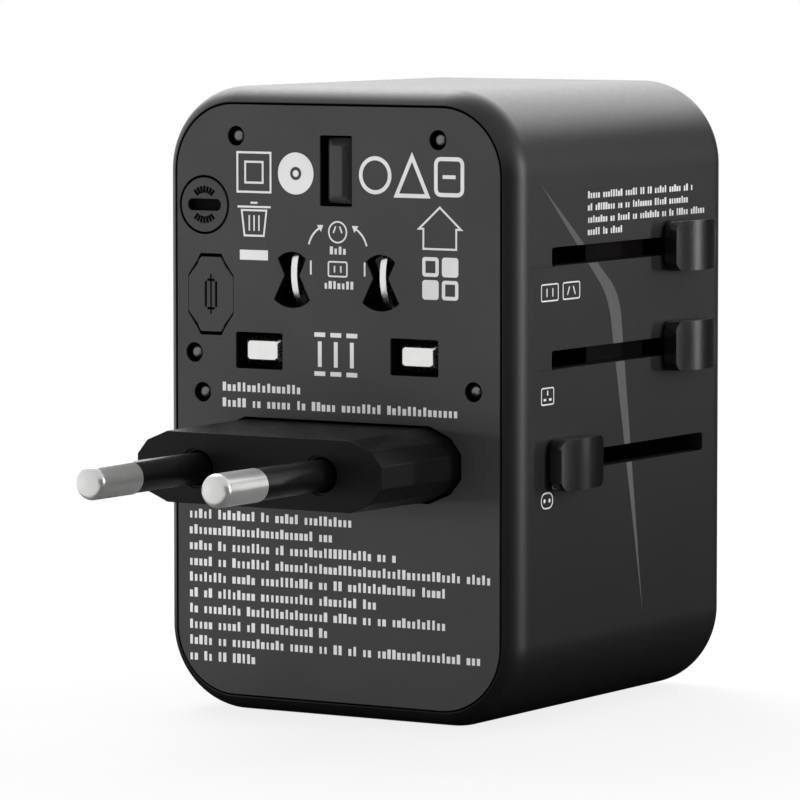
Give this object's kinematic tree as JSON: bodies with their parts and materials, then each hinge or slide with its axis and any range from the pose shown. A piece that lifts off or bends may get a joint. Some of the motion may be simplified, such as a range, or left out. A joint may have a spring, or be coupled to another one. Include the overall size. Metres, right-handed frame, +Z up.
{
  "type": "universal travel adapter",
  "caption": "Pocket mains adapter with sliding plug sets for different countries, a universal socket behind them and a built-in charger with low-voltage ports.",
  "frame": {"origin": "middle of the narrow bottom end, on the surface that it stands on", "axes": "-Y is the way the plugs come out, +Y is the socket face, +X is the side with the slider knobs, +Z is up along the long side of the housing"},
  "size_m": [0.0533, 0.0939, 0.077],
  "materials": {
    "shell_black": "fine satin",
    "plate_grey": "fine matte texture",
    "inner_black": "moulded",
    "knob_black": "soft gloss",
    "sleeve_black": "moulded",
    "nickel": "bright nickel plate",
    "brass": "stamped",
    "spring_steel": "drawn wire",
    "screw_black": "blackened",
    "ceramic": "glazed ceramic tube with metal ends",
    "circuit_board": "solder mask",
    "ferrite": "sintered",
    "capacitor_sleeve": "shrink sleeve",
    "port_steel": "stamped",
    "port_insert": "moulded"
  },
  "bodies": {
    "housing": {"housing_shell": "shell_black", "plug_face_plate": "plate_grey", "socket_face_plate": "plate_grey", "chassis": "inner_black", "contact_carrier": "inner_black", "live_contact": "brass", "neutral_contact": "brass", "earth_contact": "brass", "shutter_spring": "spring_steel", "main_fuse": "ceramic", "spare_fuse": "ceramic", "fuse_contact": "brass", "usb_board": "circuit_board", "power_board": "circuit_board", "transformer": "ferrite", "capacitor_1": "capacitor_sleeve", "capacitor_2": "capacitor_sleeve", "output_inductor": "ferrite", "plate_screw_1": "screw_black", "plate_screw_2": "screw_black", "plate_screw_3": "screw_black", "plate_screw_4": "screw_black", "plate_screw_5": "screw_black", "usb_a_1_shell": "port_steel", "usb_a_1_insert": "port_insert", "usb_a_2_shell": "port_steel", "usb_a_2_insert": "port_insert", "usb_a_3_shell": "port_steel", "usb_a_3_insert": "port_insert", "usb_c_1_shell": "port_steel", "usb_c_1_insert": "port_insert", "usb_c_2_shell": "port_steel", "usb_c_2_insert": "port_insert"},
    "shutter": {"socket_shutter": "inner_black"},
    "us_slider": {"us_carriage": "inner_black", "us_knob": "knob_black"},
    "us_left_blade": {"us_blade_left": "nickel"},
    "us_right_blade": {"us_blade_right": "nickel"},
    "uk_slider": {"uk_carriage": "inner_black", "uk_knob": "knob_black", "uk_pin_live": "nickel", "uk_pin_neutral": "nickel", "uk_earth_pin": "plate_grey"},
    "eu_slider": {"eu_plug_block": "inner_black", "eu_knob": "knob_black"},
    "eu_pins": {"eu_pin_carriage": "inner_black", "eu_pin_left": "nickel", "eu_pin_right": "nickel", "eu_sleeve_left": "sleeve_black", "eu_sleeve_right": "sleeve_black"},
    "fuse_door": {"fuse_cover": "plate_grey"},
    "spare_cap": {"spare_fuse_cap": "plate_grey"}
  },
  "joints": [
    {"name": "shutter_lift", "type": "slide", "parent": "housing", "child": "shutter", "axis": [0, 0, 1], "range_m": [0, 0.008], "stiffness_N_per_m": 50, "springref_m": -0.004, "deforming": ["shutter_spring"]},
    {"name": "us_slide", "type": "slide", "parent": "housing", "child": "us_slider", "axis": [0, -1, 0], "range_m": [0, 0.017]},
    {"name": "us_left_twist", "type": "hinge", "parent": "us_slider", "child": "us_left_blade", "pos_m": [-0.00635, -0.006, 0.05414], "axis": [0, -1, 0], "range_deg": [-30, 30]},
    {"name": "us_right_twist", "type": "hinge", "parent": "us_slider", "child": "us_right_blade", "pos_m": [0.00635, -0.006, 0.05414], "axis": [0, -1, 0], "range_deg": [-30, 30]},
    {"name": "uk_slide", "type": "slide", "parent": "housing", "child": "uk_slider", "axis": [0, -1, 0], "range_m": [0, 0.0184]},
    {"name": "eu_slide", "type": "slide", "parent": "housing", "child": "eu_slider", "axis": [0, 1, 0], "range_m": [0, 0.0285]},
    {"name": "eu_pin_slide", "type": "slide", "parent": "eu_slider", "child": "eu_pins", "axis": [0, 1, 0], "range_m": [0, 0.0124]},
    {"name": "fuse_cover_pull", "type": "slide", "parent": "housing", "child": "fuse_door", "axis": [0, -1, 0], "range_m": [0, 0.004]},
    {"name": "spare_cap_turn", "type": "hinge", "parent": "housing", "child": "spare_cap", "pos_m": [-0.01909, -0.0266, 0.06243], "axis": [0, -1, 0], "range_deg": [0, 90]}
  ],
  "couplings": [
    {"joint": "eu_pin_slide", "follows": "eu_slide", "ratio": 0.43508}
  ]
}
